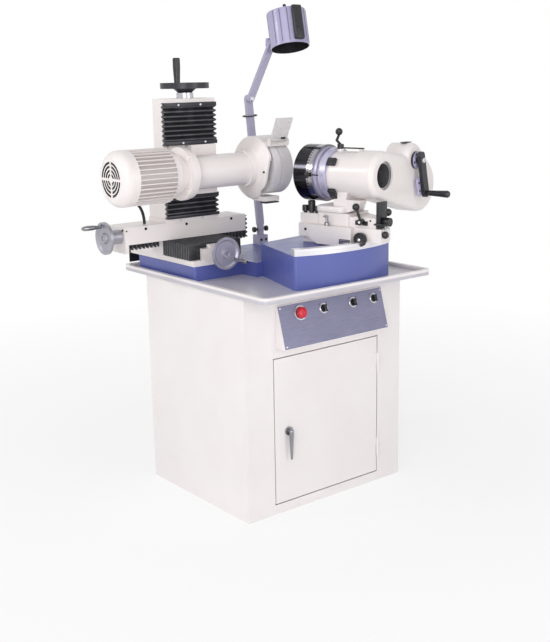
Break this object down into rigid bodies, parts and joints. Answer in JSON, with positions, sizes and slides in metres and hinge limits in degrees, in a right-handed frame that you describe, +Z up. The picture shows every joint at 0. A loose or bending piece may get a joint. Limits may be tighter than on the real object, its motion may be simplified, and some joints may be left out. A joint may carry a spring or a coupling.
{
  "type": "drill and cutter grinder",
  "caption": "Bench-height drill and tool grinder on a sheet-metal cabinet: motor spindle on cross, long and lift slides, swinging work head with hand crank, jointed lamp and control box.",
  "frame": {"origin": "on the floor under the middle of the cabinet", "axes": "+X right along the cabinet front, +Y to the back, +Z up"},
  "size_m": [0.9919, 0.8067, 1.5054],
  "materials": {
    "cream_paint": "satin enamel",
    "blue_paint": "painted",
    "bare_steel": "ground",
    "bright_chrome": "polished",
    "cast_aluminium": "turned",
    "black_plastic": "moulded",
    "black_metal": "black finish",
    "black_rubber": "folded",
    "white_abrasive": "bonded grain",
    "pink_abrasive": "bonded grain",
    "red_plastic": "moulded",
    "shield_sheet": "smooth sheet"
  },
  "bodies": {
    "stand": {"cabinet_shell": "cream_paint", "worktop_tray": "cream_paint", "base_casting": "blue_paint", "scale_arc": "bare_steel", "control_box": "cream_paint", "door_hinges": "cream_paint", "cross_bed": "cream_paint", "lamp_bracket": "cream_paint"},
    "saddle": {"saddle": "cream_paint", "cross_bellows": "black_rubber"},
    "table": {"long_table": "cream_paint", "table_end_plate": "cream_paint", "way_bellows": "black_rubber", "column": "cream_paint", "column_bellows": "black_rubber"},
    "head": {"head_slide": "cream_paint", "spindle_housing": "cream_paint", "motor_body": "cream_paint", "fan_cowl": "cream_paint", "wheel_guard": "cream_paint", "motor_cable": "black_rubber"},
    "spindle": {"spindle_shaft": "bare_steel", "motor_rotor": "bare_steel", "cooling_fan": "black_plastic", "grinding_wheel": "white_abrasive", "cup_wheel": "pink_abrasive", "wheel_nut": "bare_steel"},
    "shield": {"spark_shield": "shield_sheet"},
    "cross_wheel": {"cross_handwheel": "cast_aluminium", "cross_leadscrew": "bare_steel"},
    "cross_grip": {"cross_grip": "bright_chrome"},
    "long_wheel": {"long_handwheel": "cast_aluminium", "long_leadscrew": "bare_steel"},
    "long_grip": {"long_grip": "bright_chrome"},
    "lift_wheel": {"lift_handwheel": "black_metal", "lift_leadscrew": "bare_steel"},
    "lift_grip": {"lift_grip": "black_plastic"},
    "door": {"cabinet_door": "cream_paint"},
    "door_handle": {"door_handle": "bright_chrome"},
    "stop_button": {"stop_button": "red_plastic"},
    "selector_1": {"selector_knob_1": "black_plastic"},
    "selector_2": {"selector_knob_2": "black_plastic"},
    "selector_3": {"selector_knob_3": "black_plastic"},
    "lamp_lower": {"lamp_lower_arm": "bare_steel"},
    "lamp_upper": {"lamp_upper_arm": "bare_steel"},
    "lamp_head": {"lamp_head": "cast_aluminium"},
    "swing": {"swing_base": "cream_paint"},
    "feed": {"feed_slide": "cream_paint", "workhead_housing": "cream_paint", "gear_cover": "cream_paint", "scale_ring": "cast_aluminium"},
    "work_spindle": {"work_spindle": "bare_steel", "index_drum": "black_metal"},
    "idler": {"idler_gear": "bare_steel"},
    "crank": {"crank_arm": "black_metal"},
    "crank_grip": {"crank_grip": "black_plastic"},
    "feed_knob": {"feed_knob": "black_plastic"},
    "clamp_lever": {"clamp_lever": "black_plastic"},
    "index_lever": {"index_lever": "black_plastic"},
    "lock_handle": {"lock_handle": "bright_chrome"}
  },
  "joints": [
    {"name": "cross_slide", "type": "slide", "parent": "stand", "child": "saddle", "axis": [0, 1, 0], "range_m": [-0.006, 0.03], "deforming": ["cross_bellows"]},
    {"name": "long_slide", "type": "slide", "parent": "saddle", "child": "table", "axis": [1, 0, 0], "range_m": [-0.06, 0.01], "deforming": ["way_bellows"]},
    {"name": "lift_slide", "type": "slide", "parent": "table", "child": "head", "axis": [0, 0, 1], "range_m": [-0.04, 0.07], "deforming": ["column_bellows", "motor_cable"]},
    {"name": "wheel_spin", "type": "hinge", "parent": "head", "child": "spindle", "pos_m": [-0.02, 0.055, 1.012], "axis": [1, 0, 0], "continuous": true},
    {"name": "shield_flip", "type": "hinge", "parent": "head", "child": "shield", "pos_m": [0.022, -0.011, 1.09726], "axis": [1, 0, 0], "range_deg": [0, 60]},
    {"name": "cross_handwheel", "type": "hinge", "parent": "stand", "child": "cross_wheel", "pos_m": [-0.203, -0.03, 0.771], "axis": [0, 1, 0], "range_deg": [-434, 2162]},
    {"name": "cross_grip", "type": "hinge", "parent": "cross_wheel", "child": "cross_grip", "pos_m": [-0.17351, -0.06, 0.75035], "axis": [0, 1, 0], "continuous": true},
    {"name": "long_handwheel", "type": "hinge", "parent": "table", "child": "long_wheel", "pos_m": [-0.49, 0.17, 0.828], "axis": [1, 0, 0], "range_deg": [-4322, 722]},
    {"name": "long_grip", "type": "hinge", "parent": "long_wheel", "child": "long_grip", "pos_m": [-0.53, 0.18231, 0.86183], "axis": [1, 0, 0], "continuous": true},
    {"name": "lift_handwheel", "type": "hinge", "parent": "table", "child": "lift_wheel", "pos_m": [-0.209, 0.152, 1.25], "axis": [0, 0, 1], "range_deg": [-2882, 5042]},
    {"name": "lift_grip", "type": "hinge", "parent": "lift_wheel", "child": "lift_grip", "pos_m": [-0.26117, 0.11268, 1.3], "axis": [0, 0, 1], "continuous": true},
    {"name": "door_hinge", "type": "hinge", "parent": "stand", "child": "door", "pos_m": [0.2115, -0.2625, 0.258], "axis": [0, 0, 1], "range_deg": [0, 110]},
    {"name": "door_handle", "type": "hinge", "parent": "door", "child": "door_handle", "pos_m": [-0.155, -0.258, 0.256], "axis": [0, 1, 0], "range_deg": [0, 90]},
    {"name": "stop_press", "type": "slide", "parent": "stand", "child": "stop_button", "axis": [0, 0.9615, -0.2747], "range_m": [0, 0.005], "stiffness_N_per_m": 600},
    {"name": "selector_1_turn", "type": "hinge", "parent": "stand", "child": "selector_1", "pos_m": [-0.026, -0.27257, 0.615], "axis": [0, -0.9615, 0.2747], "range_deg": [-45, 45]},
    {"name": "selector_2_turn", "type": "hinge", "parent": "stand", "child": "selector_2", "pos_m": [0.093, -0.27257, 0.615], "axis": [0, -0.9615, 0.2747], "range_deg": [-45, 45]},
    {"name": "selector_3_turn", "type": "hinge", "parent": "stand", "child": "selector_3", "pos_m": [0.179, -0.27257, 0.615], "axis": [0, -0.9615, 0.2747], "range_deg": [-45, 45]},
    {"name": "lamp_swivel", "type": "hinge", "parent": "stand", "child": "lamp_lower", "pos_m": [0.122, 0.22, 0.78], "axis": [0, 0, 1], "range_deg": [-60, 60]},
    {"name": "lamp_elbow", "type": "hinge", "parent": "lamp_lower", "child": "lamp_upper", "pos_m": [0.084, 0.207, 1.219], "axis": [0, 1, 0], "range_deg": [-25, 40]},
    {"name": "lamp_tilt", "type": "hinge", "parent": "lamp_upper", "child": "lamp_head", "pos_m": [0.178, 0.214, 1.397], "axis": [0, 1, 0], "range_deg": [-40, 25]},
    {"name": "workhead_swivel", "type": "hinge", "parent": "stand", "child": "swing", "pos_m": [0.034, 0.135, 0.8], "axis": [0, 0, 1], "range_deg": [-12, 10]},
    {"name": "feed_slide", "type": "slide", "parent": "swing", "child": "feed", "axis": [0.2147, -0.9767, 0], "range_m": [0, 0.04]},
    {"name": "feed_knob", "type": "hinge", "parent": "feed", "child": "feed_knob", "pos_m": [0.12125, -0.37824, 0.869], "axis": [0.2147, -0.9767, 0], "range_deg": [-2, 2882]},
    {"name": "work_spin", "type": "hinge", "parent": "feed", "child": "work_spindle", "pos_m": [0.10916, -0.20683, 1], "axis": [-0.2147, 0.9767, 0], "continuous": true},
    {"name": "idler_spin", "type": "hinge", "parent": "feed", "child": "idler", "pos_m": [0.23501, -0.29179, 0.99234], "axis": [-0.2147, 0.9767, 0], "continuous": true},
    {"name": "crank_turn", "type": "hinge", "parent": "feed", "child": "crank", "pos_m": [0.31091, -0.34678, 1.034], "axis": [-0.2147, 0.9767, 0], "continuous": true},
    {"name": "crank_grip", "type": "hinge", "parent": "crank", "child": "crank_grip", "pos_m": [0.35052, -0.40974, 0.93309], "axis": [-0.2147, 0.9767, 0], "continuous": true},
    {"name": "clamp_lever", "type": "hinge", "parent": "feed", "child": "clamp_lever", "pos_m": [0.07515, -0.32694, 0.868], "axis": [0.9767, 0.2147, 0], "range_deg": [-8, 60]},
    {"name": "index_lever", "type": "hinge", "parent": "feed", "child": "index_lever", "pos_m": [0.1083, -0.20293, 1.08], "axis": [0, 0, 1], "range_deg": [-40, 40]},
    {"name": "lock_turn", "type": "hinge", "parent": "swing", "child": "lock_handle", "pos_m": [0.0395, -0.21601, 0.865], "axis": [0, 0, 1], "range_deg": [0, 90]}
  ],
  "couplings": [
    {"joint": "cross_handwheel", "follows": "cross_slide", "rad_per_m": 1256.6},
    {"joint": "long_handwheel", "follows": "long_slide", "rad_per_m": 1256.6},
    {"joint": "lift_handwheel", "follows": "lift_slide", "rad_per_m": 1256.6},
    {"joint": "feed_knob", "follows": "feed_slide", "rad_per_m": 1256.6},
    {"joint": "idler_spin", "follows": "work_spin", "ratio": -1.3333},
    {"joint": "crank_turn", "follows": "work_spin", "ratio": 2}
  ]
}
